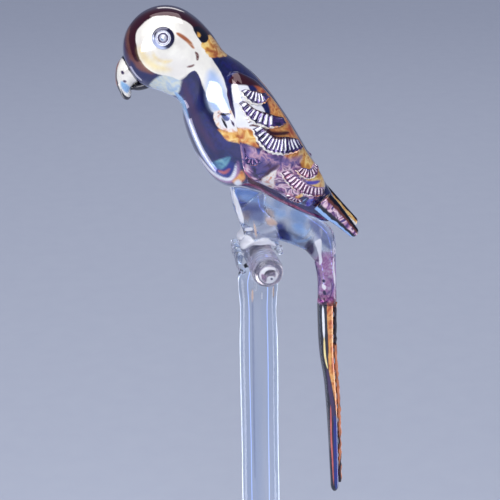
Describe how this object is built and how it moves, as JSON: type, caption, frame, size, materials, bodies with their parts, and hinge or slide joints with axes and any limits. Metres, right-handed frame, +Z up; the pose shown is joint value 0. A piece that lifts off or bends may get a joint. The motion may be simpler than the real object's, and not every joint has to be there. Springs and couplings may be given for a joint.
{
  "type": "glass parrot swizzle stick",
  "caption": "Lampworked glass parrot with lustred body, pressed wings and a long tail, perched on a cross-bar at the top of a clear glass stirring rod.",
  "frame": {"origin": "middle of the flat fire-polished bottom end of the rod", "axes": "+Z up the rod towards the bird, -X the way the bird looks, Y along the perch bar with the bird's left at -Y"},
  "size_m": [0.0489, 0.0251, 0.2029],
  "materials": {
    "clear_glass": "clear, fire-polished",
    "lustre_glass": "amethyst and gold mirror-like lustre",
    "pearl_glass": "pale pearl lustre"
  },
  "bodies": {
    "root": {"rod": "clear_glass", "perch_bar": "clear_glass", "rump": "clear_glass", "tail_socket": "clear_glass", "left_leg": "clear_glass", "left_foot": "clear_glass", "left_front_toe_inner": "clear_glass", "left_front_toe_outer": "clear_glass", "left_back_toe": "clear_glass", "left_eye_bead": "clear_glass", "right_leg": "clear_glass", "right_foot": "clear_glass", "right_front_toe_inner": "clear_glass", "right_front_toe_outer": "clear_glass", "right_back_toe": "clear_glass", "right_eye_bead": "clear_glass", "body": "lustre_glass", "upper_beak": "lustre_glass", "lower_beak": "lustre_glass", "tail": "lustre_glass", "tail_ridge": "lustre_glass", "left_wing": "lustre_glass", "left_wing_tip": "lustre_glass", "left_wing_feather_1": "lustre_glass", "left_wing_feather_2": "lustre_glass", "left_wing_feather_3": "lustre_glass", "left_wing_feather_4": "lustre_glass", "left_wing_feather_5": "lustre_glass", "left_wing_feather_6": "lustre_glass", "left_wing_feather_7": "lustre_glass", "right_wing": "lustre_glass", "right_wing_tip": "lustre_glass", "right_wing_feather_1": "lustre_glass", "right_wing_feather_2": "lustre_glass", "right_wing_feather_3": "lustre_glass", "right_wing_feather_4": "lustre_glass", "right_wing_feather_5": "lustre_glass", "right_wing_feather_6": "lustre_glass", "right_wing_feather_7": "lustre_glass", "left_eye_ring": "pearl_glass", "right_eye_ring": "pearl_glass"}
  },
  "joints": []
}
